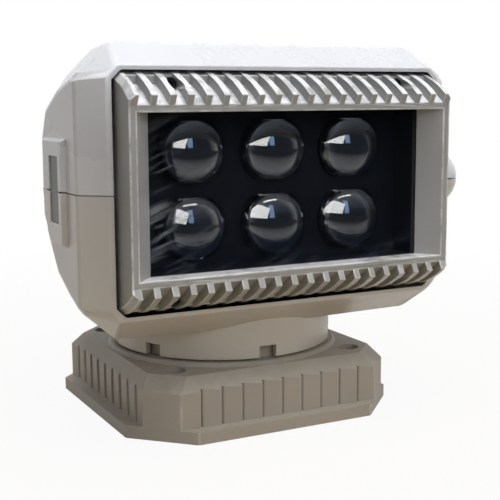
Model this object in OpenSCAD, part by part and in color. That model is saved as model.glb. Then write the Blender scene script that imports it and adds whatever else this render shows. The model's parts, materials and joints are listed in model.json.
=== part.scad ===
// Marine searchlight: a panning head on a square base, with a tilting lamp of six lenses.
// Millimetres. +Z is up, the lamp looks along -Y, and the origin is under the middle of the foot.

/* [Base] */
// Width of the square foot
base_w = 174; // [170:1:190]
// Height of the foot
foot_h = 7; // [6:0.5:9]
// How far the foot stands out past the body
foot_flange = 7.3; // [6:0.1:8]
// Corner chamfer of the foot
foot_chamfer = 31; // [28:1:34]
// Height of the deck
deck_z = 35.5; // [33:0.5:40]
// Height of the bevel round the deck
bevel_h = 8; // [4:0.5:9]
// Width of the bevel round the deck
bevel_w = 6.5; // [5:0.5:9]
// Wall of the base casting
base_wall = 4; // [3:0.5:5]
// Distance between the ribs on each side
rib_pitch = 12.8; // [11:0.1:14]
// Ribs on each side
rib_count = 9; // [5:1:9]
// Depth of the step at each rib
rib_depth = 1.2; // [0.6:0.1:2]
// Distance of the mounting bolts from the edge of the foot
bolt_inset = 29; // [27:0.5:32]
// Mounting bolt hole
bolt_hole_d = 6.6; // [5:0.1:8]
// Recess for the bolt head in the deck
bolt_recess_d = 13.5; // [12:0.5:15]
// Depth of that recess
bolt_recess_h = 8; // [4:0.5:12]
// Thickness of the bottom plate
plate_t = 3; // [2:0.5:4]
// Thickness of flat gaskets
gasket_t = 1; // [0.6:0.1:1.6]

/* [Pan drive] */
// Room between the pan pinion and the dam
gear_room = 2.6; // [2:0.1:4]
// Wall of the neck
neck_wall = 4; // [3:0.5:5]
// Height of the collar on the deck
collar_h = 2; // [1.9:0.1:4]
// Running gap between collar and neck
neck_gap = 1; // [0.8:0.1:2]
// Width of the drain notches in the neck
notch_w = 10.5; // [8:0.5:14]
// Height of the drain notches
notch_h = 7; // [4:0.5:8]
// Outer radius of the pan spindle
spindle_r = 17; // [15:0.5:18]
// Wiring bore of the pan spindle
spindle_bore_r = 11; // [8:0.5:13]
// Height of the pan bearing
bearing_h = 12; // [10:0.5:14]
// Radius of the bearing balls
ball_r = 2.2; // [1.8:0.1:2.4]
// Tooth module of the pan gears
pan_module = 1.5; // [1.4:0.05:1.6]
// Teeth of the fixed pan gear
pan_gear_teeth = 48; // [46:1:50]
// Teeth of the pan pinion
pan_pinion_teeth = 12; // [12:1:14]
// Width of the pan gears
pan_gear_h = 6; // [4:0.5:7]

/* [Head] */
// Height of the head's underside over the neck floor
head_lift = 1.3; // [0.8:0.1:4]
// Distance from the pan axis forward to the tilt axis
tilt_forward = 63.5; // [60:0.5:66]
// Wall of the head shells
shell_wall = 3; // [2:0.5:4]
// Room for the tilt drive between the bezel and the outside of the flat sides
side_room = 17.8; // [16:0.2:22]
// Gap between the bezel and the opening at each side
lamp_gap = 1; // [0.8:0.1:2]
// Height of the front edge over the fin tips
front_rise = 1; // [0.8:0.1:3]
// Distance of the front edge in front of the tilt axis
front_lead = 20.5; // [20:0.1:24]
// Height of the top ridge over the fin tips
ridge_rise = 13.6; // [11:0.2:18]
// Depth of the bottom ridge below the fin tips
ridge_drop = 15.6; // [13:0.2:18]
// Half length of the flat top edge
ridge_hw = 94; // [88:0.5:98]
// Distance of the rear face from the pan axis
rear_d = 72; // [70:1:80]
// Half width of the rear face
rear_hw = 70; // [60:1:76]
// Height of the rear face above the tilt axis
rear_top = 58; // [50:1:64]
// Depth of the rear face below the tilt axis
rear_low = 74; // [70:1:76]
// Radius of the domed boss on the right side
dome_r = 18; // [17:0.5:20]
// Height of the raised pad on the left side
pad_h = 2.6; // [1.5:0.1:4]

/* [Lamp] */
// Half width of the bezel
bezel_hw = 98.2; // [97:0.1:98.4]
// Radius of the fin tips about the tilt axis
fin_r = 64.9; // [63:0.1:65.2]
// Height of the fins
fin_h = 5.2; // [4:0.1:5.6]
// Thickness of a fin
fin_t = 3.7; // [2.5:0.1:4.5]
// Distance of the last fin from the end of the bezel
fin_end = 3.2; // [2.8:0.1:5]
// Fins on the top and on the bottom
fin_count = 20; // [14:2:20]
// Distance of the front rim from the tilt axis
rim_d = 38; // [36.5:0.1:39]
// How far the fin tips stand in front of the rim
tip_reach = 2.4; // [1:0.1:2.8]
// Width of the bezel beside the glass
window_side = 14.9; // [12:0.1:18]
// Height of the rim over the window
rim_h = 3.8; // [2.5:0.1:5]
// Distance of the glass behind the rim
glass_depth = 12; // [8:0.5:13]
// Thickness of the front glass
glass_t = 3; // [2:0.5:4]
// Width of the front rim at the sides
rim_w = 4.1; // [3:0.1:6]
// Gap between lens columns
lens_gap_x = 9.5; // [6:0.5:12]
// Gap between lens rows
lens_gap_z = 8.2; // [6:0.2:11]
// Height of a lens over its tray
lens_rise = 15; // [13:0.5:17]
// Distance of the outer lenses from the sides of the window
lens_edge_x = 12.3; // [8:0.1:16]
// Distance of the lenses from the top and bottom of the window
lens_edge_z = 5.1; // [3:0.1:8]

/* [Tilt drive] */
// Radius of the trunnion shafts
trunnion_r = 7; // [6:0.25:7.5]
// Wall of the tilt bushes
bush_wall = 2; // [1.5:0.25:2.25]
// Tooth module of the tilt gears
tilt_module = 1.25; // [1.2:0.05:1.3]
// Teeth of the fixed tilt gear
tilt_gear_teeth = 36; // [34:1:36]
// Teeth of the tilt pinion
tilt_pinion_teeth = 12; // [12:1:13]

/* [Hidden] */
$fn = 96;

// Clearances and small shared sizes
run_fit = 0.05;
seat_fit = 0.05;
slip = 0.3;
thin = 0.02;
cut = 1;
far = 300;
tooth_play = 0.5;
mesh_play = 0.2;
flank_steps = 6;

// Base
base_h = base_w / 2;
body_h = base_h - foot_flange;
body_chamfer = foot_chamfer - 2 * foot_flange;
deck_t = 4;
cavity_h = body_h - base_wall;
cavity_top_h = body_h - bevel_w - base_wall / 2;
ledge_z = plate_t + gasket_t;
plate_rim = 4.5;
plate_h = cavity_h + plate_rim;
plate_chamfer = body_chamfer + plate_rim;
rib_run = 0.85;
post_r = bolt_recess_d / 2 + 2.25;
bolt_at = base_h - bolt_inset;
plate_screw_r = 1.5;
plate_screw_at = 28;
plate_boss_r = 4.5;
plate_boss_in = body_h - base_wall - plate_boss_r + cut / 2;
plate_head_r = 2.8;
plate_head_h = 1.6;
plate_key_r = 1.2;
plate_key_h = 0.8;
gasket_in = 4;
plate_screw_l = 12;
grommet_r = 10;
grommet_hole_r = 5;
grommet_lip = 2;

// Pan gears
pan_gear_r = pan_module * pan_gear_teeth / 2;
pan_pinion_r = pan_module * pan_pinion_teeth / 2;
tooth_tip = 0.8;
tooth_root = 1.2;
pan_mesh_d = pan_gear_r + pan_pinion_r + mesh_play;
pan_reach = pan_mesh_d + pan_pinion_r + tooth_tip * pan_module;
dam_gap = 2.2;
dam_wall = 3.8;
neck_r = pan_reach + gear_room + dam_wall + dam_gap + neck_wall;

// Collar, neck and hub heights
collar_top = deck_z + collar_h;
collar_w = 4.3;
collar_r = neck_r + collar_w;
collar_bevel = 1.8;
neck_z = collar_top + neck_gap;
neck_in_r = neck_r - neck_wall;
neck_lap = 12;
dam_r = neck_in_r - dam_gap;
dam_top = neck_z + notch_h - 0.4;
gear_seat_z = deck_z + 2;
hub_top = gear_seat_z + pan_gear_h;
bearing_z = hub_top - bearing_h - 4;
race_in_out_r = spindle_r + 1.8;
race_gap = 2 * (ball_r + run_fit);
race_out_in_r = race_in_out_r + race_gap;
race_out_r = race_out_in_r + 2.8;
ball_pitch_r = race_in_out_r + race_gap / 2;
ball_count = 20;
ball_groove_r = ball_r + 0.15;
hub_wall = 4;
hub_r = race_out_r + hub_wall;
hub_lip = 2.5;
hub_slip = 0.5;
gear_land = 3.5;
seal_h = 2;
shoulder_r = spindle_r + 2.5;
nut_h = 6;
nut_slot_w = 3;
nut_slot_d = 1;
nut_r = race_in_out_r + 1.6;
flange_r = 30;
flange_t = 4;
flange_gap = 5;
flange_z = hub_top + flange_gap;
floor_z = flange_z + flange_t;
floor_t = 4;
floor_top = floor_z + floor_t;
spindle_foot_z = bearing_z - nut_h - 2;
spindle_screw_pcr = 25;
spindle_screw_r = 2;
spindle_screw_count = 4;
screw_head_h = 3;
spindle_head_r = 3.6;
spindle_key_h = 1.5;

// Motors
motor_shaft_r = 2.5;
pan_motor_r = 13;
pan_motor_h = 34;
pan_motor_boss_h = 7;
pan_motor_cap_r = 4.5;
pan_motor_cap_h = 3;
pan_motor_ear_w = 8;
pan_motor_ear_h = 3;
pan_motor_ear = [2 * pan_motor_r + pan_motor_ear_w, pan_motor_ear_w, pan_motor_ear_h];
shaft_hole_r = motor_shaft_r + 2;

// Head
tilt_y = -tilt_forward;
side_hw = bezel_hw + side_room;
front_hw = bezel_hw + lamp_gap + shell_wall;
front_hh = fin_r + front_rise;
front_d = tilt_forward + front_lead;
ridge_top = fin_r + ridge_rise;
ridge_low = fin_r + ridge_drop;
tilt_z = floor_top + head_lift + ridge_low;
seam = 0.8;
seam_set = 0.8;
front_chamfer = 4.5;
side_set = 13;
ridge_set = 21;
side_front_y = -(front_d - side_set);
ridge_y = -(front_d - ridge_set);
side_rear_y = -10;
shoulder_y = -9;
shoulder_set = 9.5;
shoulder_hw = ridge_hw - shoulder_set;
shoulder_drop = 1;
corner_y = -28;
corner_set = 10.6;
corner_drop = 16.5;
corner_hw = side_hw - corner_set;
corner_rise = ridge_top - corner_drop;
rear_chamfer = 22;
rear_hh = (rear_top + rear_low) / 2;
rear_rise = (rear_top - rear_low) / 2;
side_top = [[side_front_y, 60.2], [-41, 52.7], [-19, 42.7], [-11, 27.7]];
side_low = [[side_rear_y, -2.3], [-17, -25.3], [-34, -45.3], [-53, -54.3], [side_front_y, -60.8]];
notch_count = 6;
notch_turn = -2.4;
boss_r = trunnion_r + bush_wall + 2;
boss_in = bezel_hw + 2.3;
boss_out = side_hw - 3.5;
boss_end = side_hw - 2;
bush_r = trunnion_r + bush_wall;
dome_x = side_hw - 4.5;
dome_bore_x = side_hw + 4;
post_screw_r = 5;
side_post_x = neck_r + 7;
side_post_y = 12;
rear_post_x = 38;
rear_post_y = rear_d - shell_wall - post_screw_r - 1.5;
post_up = 13;
tip_room = 2;
shell_screw_r = 2;
shell_head_r = 3.8;
shell_head_h = 3;
shell_key_h = 1.6;
shell_head_rise = 16;
shell_head_z = tilt_z - ridge_low + shell_head_rise;
pad_front_y = -54;
pad_rear_y = -19;
pad_heel_y = -30;
pad_rise = 28.5;
pad_drop = 29.4;
pad_heel_drop = 14;
pad_top_z = tilt_z + pad_rise;
pad_low_z = tilt_z - pad_drop;
pad_slope = 1.6;
cover_front = 7;
cover_rear = 13;
cover_top = 10;
cover_foot = 12.4;
cover_t = 1.2;
cover_sink = 0.8;
board_w = 80;
board_d = 32;
board_h = 1.6;
board_room = 0.8;
board_size = [board_w, board_d, board_h];
board_y = board_d / 2 - sqrt(pow(neck_in_r - board_room, 2) - pow(board_w / 2, 2));
board_post_h = 4;
board_post_r = 3;
board_post_in = 4;
// Chips by place, width and height, and capacitors by place, radius and height
board_chips = [[-30, -9, 16, 5], [-6, -8, 14, 2.5]];
board_cans = [[22, 4, 4, 9], [32, -6, 3, 6]];

// Lamp, measured from the tilt axis with the front along -Y
fin_pitch = 2 * (bezel_hw - fin_end) / (fin_count - 1);
floor_r = fin_r - fin_h;
rim_floor = sqrt(floor_r * floor_r - rim_d * rim_d);
window_hw = bezel_hw - window_side;
window_hh = rim_floor - rim_h;
tip_d = rim_d + tip_reach;
tip_hh = sqrt(fin_r * fin_r - tip_d * tip_d);
split_d = 15;
fin_wall_d = front_lead - 0.6;
body_r = fin_r - 0.8;
fin_corner = 3;
body_set = 1.2;
body_hw = bezel_hw - body_set;
cheek_w = 5;
body_rear = 45;
barrel_wall = 4;
barrel_in_r = body_r - barrel_wall;
end_wall = 4;
rear_wall = 4;
mouth_side = 7;
mouth_rise = 9.5;
mouth_hw = body_hw - mouth_side;
mouth_hh = floor_r - mouth_rise;
mouth_t = 6;
lamp_gasket_w = 9.4;
glass_front = rim_d - glass_depth;
glass_edge = 3.5;
glass_edge_z = 2.6;
glass_hw = window_hw + glass_edge;
glass_hh = window_hh + glass_edge_z;
recess_slip = 0.5;
glass_back = glass_front - glass_t;
seal_t = 1.5;
tray_front = glass_back - seal_t;
tray_wall = 1.8;
tray_hw = glass_hw - 0.8;
tray_hh = glass_hh - 0.3;
tray_seat = 3.5;
tray_t = 3;
lens_dome = 12;
sink_front = -15.6;
sink_t = 6;
board_t = 1.6;
led_board_edge = 3;
emitter_r = 4;
emitter_h = 2;
lens_r = (window_hw - lens_gap_x - lens_edge_x) / 3;
lens_hh = (window_hh - lens_edge_z - lens_gap_z / 2) / 2;
lens_pitch_x = 2 * lens_r + lens_gap_x;
lens_pitch_z = 2 * lens_hh + lens_gap_z;
lens_seat = 1.5;
lens_hole_r = lens_hh - lens_seat;
lens_ball_r = (lens_r * lens_r + lens_dome * lens_dome) / (2 * lens_dome);
lens_columns = 3;
sink_side = 11;
sink_room = 4.1;
sink_hw = body_hw - sink_side;
sink_hh = sqrt(pow(floor_r - barrel_wall, 2) - pow(sink_t - sink_front, 2)) - sink_room;
sink_fin_t = 2.5;
sink_fin_pitch = 9;
sink_fin_set = 12;
sink_fin_hh = sink_hh - sink_fin_set;
sink_fin_d = 15;
sink_end = 5;
motor_room = 15;
sink_ledge = 3;
sink_fin_to = sink_hw - sink_end;
ledge_in = sink_hh - sink_ledge;
ledge_t = 4;
bezel_screw_fins = 7;
bezel_screw_set = 3.3;
bezel_screw_x = bezel_screw_fins * fin_pitch;
bezel_screw_z = floor_r - bezel_screw_set;
bezel_screw_r = 2;
bezel_head_r = 3.5;
bezel_head_h = 4;
bezel_head_front = fin_wall_d + bezel_head_h;
hex_key_r = 2;
hex_key_h = 2.2;

// Tilt drive
tilt_gear_r = tilt_module * tilt_gear_teeth / 2;
tilt_pinion_r = tilt_module * tilt_pinion_teeth / 2;
tilt_mesh_d = tilt_gear_r + tilt_pinion_r + mesh_play;
tilt_gear_t = 5;
tilt_gear_x = boss_in + 0.5;
tilt_gear_clip = 8;
trunnion_flange_r = 13.5;
trunnion_flange_t = 2;
trunnion_spigot_r = 10;
trunnion_bore_r = 4;
trunnion_room = 1;
tilt_motor_r = 8;
tilt_motor_l = 42;
tilt_motor_boss_l = 15;
sink_fin_from = -body_hw + end_wall + tilt_motor_l + motor_room;

// Square with cut corners, centred
module cut_square(half, chamfer) {
  cut_rectangle(half, half, chamfer);
}

// Rectangle with cut corners, centred
module cut_rectangle(hw, hh, chamfer) {
  polygon([
    [-hw + chamfer, -hh], [hw - chamfer, -hh], [hw, -hh + chamfer], [hw, hh - chamfer],
    [hw - chamfer, hh], [-hw + chamfer, hh], [-hw, hh - chamfer], [-hw, -hh + chamfer]
  ]);
}

// Extrudes a (y, z) outline along X, centred
module along_x(length) {
  translate([-length / 2, 0, 0]) rotate([90, 0, 90]) linear_extrude(length) children();
}

// Extrudes an (x, z) outline along Y, from y_from to y_to
module along_y(y_from, y_to) {
  translate([0, y_to, 0]) rotate([90, 0, 0]) linear_extrude(y_to - y_from) children();
}

// Cylinder along X from x_from to x_to
module rod_x(r, x_from, x_to) {
  translate([x_from, 0, 0]) rotate([0, 90, 0]) cylinder(r = r, h = x_to - x_from);
}

// Cylinder along Y from y_from to y_to
module rod_y(r, y_from, y_to) {
  translate([0, y_to, 0]) rotate([90, 0, 0]) cylinder(r = r, h = y_to - y_from);
}

// Box given by its half width, its span in Y and its half height
module block(hw, y_from, y_to, hh) {
  translate([-hw, y_from, -hh]) cube([2 * hw, y_to - y_from, 2 * hh]);
}

module tube(r_out, r_in, z_from, z_to) {
  translate([0, 0, z_from]) difference() {
    cylinder(r = r_out, h = z_to - z_from);
    translate([0, 0, -cut]) cylinder(r = r_in, h = z_to - z_from + 2 * cut);
  }
}

module at_tilt_axis() {
  translate([0, tilt_y, tilt_z]) children();
}

// Involute teeth: half angle of a tooth at radius r
function unrolled(r, rb) = sqrt(max(0, r * r / (rb * rb) - 1)) * 180 / PI - acos(min(1, rb / r));
function tooth_half(r, rp, rb, teeth) =
  90 / teeth - tooth_play / 4 / rp * 180 / PI + unrolled(rp, rb) - unrolled(max(r, rb), rb);
function tooth_flank(rp, rb, rf, ra, teeth, steps) =
  [for (i = [0 : steps]) let (r = rf + (ra - rf) * i / steps) [r, tooth_half(r, rp, rb, teeth)]];

// Spur gear outline with one tooth centred on +X
module gear_outline(module_size, teeth) {
  rp = module_size * teeth / 2;
  root = rp - tooth_root * module_size;
  tip = rp + tooth_tip * module_size;
  flank = tooth_flank(rp, rp * cos(20), root, tip, teeth, flank_steps);
  last = len(flank) - 1;
  polygon([for (k = [0 : teeth - 1]) each concat(
    [for (i = [0 : last]) let (a = 360 * k / teeth - flank[i][1]) flank[i][0] * [cos(a), sin(a)]],
    [for (i = [0 : last]) let (a = 360 * k / teeth + flank[last - i][1]) flank[last - i][0] * [cos(a), sin(a)]]
  )]);
}

// Outline of the ribbed body of the base, one side after another
function turned(p, a) = [p[0] * cos(a) - p[1] * sin(a), p[0] * sin(a) + p[1] * cos(a)];
rib_start = -rib_pitch * (rib_count - 1) / 2;
side_end = body_h - body_chamfer;
rib_side = concat(
  [[-side_end, -body_h]],
  [for (i = [0 : rib_count - 1]) let (x = rib_start + i * rib_pitch)
    each [[x, -body_h], [x, -body_h + rib_depth], [x + rib_run * rib_pitch, -body_h]]],
  [[side_end, -body_h]]
);

module at_bolts() {
  for (x = [-bolt_at, bolt_at], y = [-bolt_at, bolt_at]) translate([x, y, 0]) children();
}

module at_plate_screws() {
  for (turn = [0 : 90 : 270], side = [-1, 1])
    rotate(turn) translate([side * plate_screw_at, -plate_boss_in, 0]) children();
}

module base_body() {
  intersection() {
    linear_extrude(deck_z) polygon([for (turn = [0 : 90 : 270]) for (p = rib_side) turned(p, turn)]);
    hull() {
      linear_extrude(deck_z - bevel_h) cut_square(body_h, body_chamfer);
      translate([0, 0, deck_z - thin]) linear_extrude(thin) cut_square(body_h - bevel_w, body_chamfer);
    }
  }
  linear_extrude(foot_h) cut_square(base_h, foot_chamfer);
}

module collar_and_dam() {
  rotate_extrude() polygon([
    [dam_r - dam_wall, deck_z - cut], [dam_r - dam_wall, dam_top], [dam_r, dam_top],
    [dam_r, collar_top], [collar_r - collar_bevel, collar_top], [collar_r, collar_top - collar_bevel],
    [collar_r, deck_z - cut]
  ]);
}

module base_casting() {
  color([0.52, 0.49, 0.44]) difference() {
    union() {
      difference() {
        base_body();
        translate([0, 0, ledge_z])
          linear_extrude(deck_z - bevel_h - ledge_z) cut_square(cavity_h, body_chamfer);
        translate([0, 0, ledge_z])
          linear_extrude(deck_z - deck_t - ledge_z) cut_square(cavity_top_h, body_chamfer);
        translate([0, 0, -cut]) linear_extrude(ledge_z + cut)
          cut_square(plate_h + slip, plate_chamfer);
      }
      collar_and_dam();
      at_bolts() cylinder(r = post_r, h = deck_z - cut);
      at_plate_screws() translate([0, 0, ledge_z])
        cylinder(r = plate_boss_r, h = deck_z - bevel_h - ledge_z + cut);
      translate([0, 0, bearing_z - hub_lip]) cylinder(r = hub_r, h = hub_top - bearing_z + hub_lip);
      translate([0, 0, bearing_z - hub_lip])
        cylinder(r = hub_r + gear_land, h = gear_seat_z - bearing_z + hub_lip);
    }
    at_bolts() translate([0, 0, -cut]) cylinder(d = bolt_hole_d, h = deck_z + 2 * cut);
    at_bolts() translate([0, 0, deck_z - bolt_recess_h]) cylinder(d = bolt_recess_d, h = bolt_recess_h + cut);
    at_plate_screws() translate([0, 0, ledge_z - cut])
      cylinder(r = plate_screw_r + seat_fit, h = plate_screw_l + 2 * cut);
    translate([0, 0, bearing_z]) cylinder(r = race_out_r, h = hub_top);
    cylinder(r = race_out_in_r + hub_slip, h = hub_top);
  }
}

module bottom_plate() {
  color([0.45, 0.46, 0.47]) difference() {
    linear_extrude(plate_t) cut_square(plate_h, plate_chamfer);
    at_bolts() translate([0, 0, -cut]) cylinder(r = post_r + slip, h = plate_t + 2 * cut);
    at_plate_screws() translate([0, 0, -cut]) cylinder(r = plate_screw_r + slip, h = plate_t + 2 * cut);
    at_plate_screws() translate([0, 0, -cut]) cylinder(r = plate_head_r + slip, h = plate_head_h + cut);
    translate([0, 0, -cut]) cylinder(r = grommet_r, h = plate_t + 2 * cut);
  }
}

module base_gasket() {
  color([0.08, 0.08, 0.08]) translate([0, 0, plate_t]) difference() {
    linear_extrude(gasket_t) cut_square(plate_h, plate_chamfer);
    translate([0, 0, -cut]) cylinder(r = cavity_h - gasket_in, h = gasket_t + 2 * cut);
    at_bolts() translate([0, 0, -cut]) cylinder(r = post_r + slip, h = gasket_t + 2 * cut);
    at_plate_screws() translate([0, 0, -cut]) cylinder(r = plate_screw_r + slip, h = gasket_t + 2 * cut);
  }
}

module bottom_plate_screws() {
  color([0.62, 0.63, 0.64]) at_plate_screws() difference() {
    union() {
      translate([0, 0, slip]) cylinder(r = plate_head_r, h = plate_head_h - slip);
      translate([0, 0, slip]) cylinder(r = plate_screw_r, h = ledge_z + plate_screw_l - slip);
    }
    translate([0, 0, slip - cut]) cylinder(r = plate_key_r, h = plate_key_h + cut, $fn = 6);
  }
}

module cable_grommet() {
  color([0.1, 0.1, 0.1]) difference() {
    union() {
      translate([0, 0, slip]) cylinder(r = grommet_r - seat_fit, h = plate_t + grommet_lip - slip);
      translate([0, 0, plate_t]) cylinder(r = grommet_r + grommet_lip, h = grommet_lip);
    }
    translate([0, 0, -cut]) cylinder(r = grommet_hole_r, h = plate_t + grommet_lip + 2 * cut);
  }
}

module ball_groove() {
  translate([0, 0, bearing_z + bearing_h / 2])
    rotate_extrude() translate([ball_pitch_r, 0]) circle(r = ball_groove_r);
}

module pan_bearing_outer_race() {
  color([0.7, 0.71, 0.73]) difference() {
    tube(race_out_r - seat_fit, race_out_in_r, bearing_z, bearing_z + bearing_h);
    ball_groove();
  }
}

module pan_bearing_inner_race() {
  color([0.7, 0.71, 0.73]) difference() {
    tube(race_in_out_r, spindle_r + seat_fit, bearing_z, bearing_z + bearing_h);
    ball_groove();
  }
}

module pan_bearing_balls() {
  color([0.8, 0.8, 0.82]) for (k = [0 : ball_count - 1])
    rotate(360 * k / ball_count) translate([ball_pitch_r, 0, bearing_z + bearing_h / 2]) sphere(r = ball_r);
}

module pan_gear() {
  color([0.85, 0.83, 0.78]) translate([0, 0, gear_seat_z]) difference() {
    linear_extrude(pan_gear_h) rotate(90) gear_outline(pan_module, pan_gear_teeth);
    translate([0, 0, -cut]) cylinder(r = hub_r + seat_fit, h = pan_gear_h + 2 * cut);
  }
}

module pan_seal() {
  color([0.07, 0.07, 0.07])
    tube(race_out_r - seat_fit, shoulder_r + slip,
      bearing_z + bearing_h + slip, bearing_z + bearing_h + slip + seal_h);
}

module pan_spindle() {
  color([0.66, 0.67, 0.69]) difference() {
    union() {
      translate([0, 0, spindle_foot_z]) cylinder(r = spindle_r, h = flange_z - spindle_foot_z);
      translate([0, 0, bearing_z + bearing_h]) cylinder(r = shoulder_r, h = flange_z - bearing_z - bearing_h);
      translate([0, 0, flange_z]) cylinder(r = flange_r, h = flange_t);
    }
    translate([0, 0, spindle_foot_z - cut]) cylinder(r = spindle_bore_r, h = floor_z);
    at_spindle_screws() translate([0, 0, flange_z - cut])
      cylinder(r = spindle_screw_r + seat_fit, h = flange_t + 2 * cut);
  }
}

module spindle_nut() {
  color([0.6, 0.61, 0.63]) difference() {
    tube(nut_r, spindle_r + seat_fit, bearing_z - nut_h, bearing_z);
    for (turn = [0 : 90 : 270]) rotate(turn) 
      translate([nut_r - nut_slot_d, -nut_slot_w / 2, bearing_z - nut_h - cut])
        cube([nut_slot_d + cut, nut_slot_w, nut_h / 2 + cut]);
  }
}

module at_spindle_screws() {
  for (k = [0 : spindle_screw_count - 1])
    rotate(45 + 360 * k / spindle_screw_count) translate([spindle_screw_pcr, 0, 0]) children();
}

module spindle_screws() {
  color([0.62, 0.63, 0.64]) at_spindle_screws() difference() {
    union() {
      translate([0, 0, flange_z]) cylinder(r = spindle_screw_r, h = flange_t + floor_t + cut);
      translate([0, 0, floor_top]) cylinder(r = spindle_head_r, h = screw_head_h);
    }
    translate([0, 0, floor_top + screw_head_h - spindle_key_h])
      cylinder(r = spindle_screw_r, h = spindle_key_h + cut, $fn = 6);
  }
}

// Side outline of the head, shrunk by the set, about the tilt axis
function shrunk_side(set) =
  [for (p = concat(side_top, side_low))
    [p[0] - (p[0] > side_front_y ? set : 0), p[1] * (1 - set / ridge_top)]];

// Two level bars, above and below the tilt axis
module edge_bars(hw, y, top, low) {
  translate([-hw, y, top - thin]) cube([2 * hw, thin, thin]);
  translate([-hw, y, -low]) cube([2 * hw, thin, thin]);
}

// Solid form of the head, smaller all round by set, open-ended forward by lead
module head_form(set, lead = 0) {
  translate([0, 0, tilt_z]) hull() {
    along_y(-front_d - lead, -front_d - lead + thin)
      cut_rectangle(front_hw - set, front_hh - set, front_chamfer);
    for (side = [-1, 1]) translate([side * (side_hw - set - thin / 2), 0, 0])
      along_x(thin) polygon(shrunk_side(set));
    edge_bars(ridge_hw - set / 2, ridge_y, ridge_top - set, ridge_low - set);
    translate([-corner_hw + set, corner_y, corner_rise - set]) cube([2 * (corner_hw - set), thin, thin]);
    edge_bars(shoulder_hw - set / 2, shoulder_y, ridge_top - shoulder_drop - set, ridge_low - set);
    translate([0, 0, rear_rise]) along_y(rear_d - set - thin, rear_d - set)
      cut_rectangle(rear_hw - set, rear_hh - set, rear_chamfer);
  }
}

module at_shell_screws() {
  for (side = [-1, 1]) {
    translate([side * side_post_x, side_post_y, 0]) children();
    translate([side * rear_post_x, rear_post_y, 0]) children();
  }
}

// Outline of the raised side pad drawn in by set: its lower rear corner is cut away
function pad_outline(set) = [
  [pad_front_y + set, pad_rise - set], [pad_rear_y - set, pad_rise - set],
  [pad_rear_y - set, -pad_heel_drop], [pad_heel_y - set, -pad_drop + set],
  [pad_front_y + set, -pad_drop + set]
];

module pad_sheet(x, t, set) {
  translate([x, 0, tilt_z]) rotate([90, 0, 90]) linear_extrude(t) polygon(pad_outline(set));
}

module side_pad() {
  hull() {
    pad_sheet(-side_hw, shell_wall / 2, 0);
    pad_sheet(-side_hw - pad_h, thin, pad_slope);
  }
}

// The box of the side cover, grown by play and reaching out to depth x_out
module cover_box(play, x_out) {
  translate([-x_out, pad_front_y + cover_front - play, pad_low_z + cover_foot - play])
    cube([x_out - side_hw - pad_h + cover_sink + cover_t,
      pad_rear_y - pad_front_y - cover_front - cover_rear + 2 * play,
      pad_top_z - pad_low_z - cover_foot - cover_top + 2 * play]);
}

module neck_notches() {
  for (k = [0 : notch_count - 1]) rotate(notch_turn + 360 * k / notch_count)
    translate([-notch_w / 2, -neck_r - cut, neck_z - cut]) cube([notch_w, neck_wall + 3 * cut, notch_h + cut]);
}

module head_shell() {
  difference() {
    union() {
      difference() {
        union() {
          head_form(0);
          translate([0, 0, neck_z]) cylinder(r = neck_r, h = tilt_z - ridge_low + neck_lap - neck_z);
          translate([dome_x, tilt_y, tilt_z]) sphere(r = dome_r);
          side_pad();
        }
        head_form(shell_wall, cut);
        translate([0, 0, neck_z - cut])
          cylinder(r = neck_in_r, h = tilt_z - ridge_low + neck_lap + 2 * cut - neck_z);
      }
      translate([0, 0, floor_z]) cylinder(r = neck_r - cut, h = floor_t);
      intersection() {
        at_tilt_axis() for (side = [0, 1]) mirror([side, 0, 0]) rod_x(boss_r, boss_in, boss_end);
        head_form(shell_wall / 2);
      }
      intersection() {
        at_shell_screws() translate([0, 0, neck_z]) cylinder(r = post_screw_r, h = tilt_z + ridge_top - neck_z);
        head_form(shell_wall / 2);
      }
      at_board_posts() translate([0, 0, floor_top - cut]) cylinder(r = board_post_r, h = board_post_h + cut);
    }
    at_tilt_axis() rod_x(bush_r + seat_fit, boss_in - cut, dome_bore_x);
    at_tilt_axis() rod_x(bush_r + seat_fit, -boss_out, -boss_in + cut);
    at_shell_screws() cylinder(r = shell_screw_r + seat_fit, h = tilt_z + post_up);
    at_shell_screws() cylinder(r = shell_head_r + slip, h = shell_head_z);
    translate([0, 0, floor_z - cut]) cylinder(r = spindle_bore_r, h = floor_t + 2 * cut);
    at_spindle_screws() translate([0, 0, floor_z - cut])
      cylinder(r = spindle_screw_r + slip, h = floor_t + 2 * cut);
    translate([0, pan_mesh_d, floor_z - cut]) cylinder(r = shaft_hole_r, h = floor_t + 2 * cut);
    neck_notches();
    cover_box(slip, side_hw + pad_h + cut);
  }
}

module half_space(z_from, z_to) {
  translate([-far / 2, -far / 2, z_from]) cube([far, far, z_to - z_from]);
}

module upper_shell() {
  color([0.88, 0.89, 0.89]) intersection() {
    head_shell();
    half_space(tilt_z + seam / 2, far);
  }
}

module lower_shell() {
  color([0.75, 0.74, 0.71]) intersection() {
    head_shell();
    half_space(0, tilt_z - seam / 2);
  }
}

module shell_gasket() {
  color([0.1, 0.1, 0.1]) intersection() {
    difference() {
      head_form(seam_set);
      head_form(shell_wall, cut);
      at_tilt_axis() rod_x(bush_r + slip, boss_in, dome_bore_x);
      at_tilt_axis() rod_x(bush_r + slip, -boss_out, -boss_in);
      at_shell_screws() cylinder(r = shell_screw_r + slip, h = far);
      cover_box(slip, side_hw + pad_h + cut);
    }
    half_space(tilt_z - seam / 2, tilt_z + seam / 2);
  }
}

module shell_screws() {
  color([0.62, 0.63, 0.64]) at_shell_screws() translate([0, 0, shell_head_z]) difference() {
    union() {
      translate([0, 0, -shell_head_h]) cylinder(r = shell_head_r, h = shell_head_h);
      cylinder(r = shell_screw_r, h = tilt_z + post_up - tip_room - shell_head_z);
    }
    translate([0, 0, -shell_head_h - cut]) cylinder(r = shell_screw_r, h = shell_key_h + cut, $fn = 6);
  }
}

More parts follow.
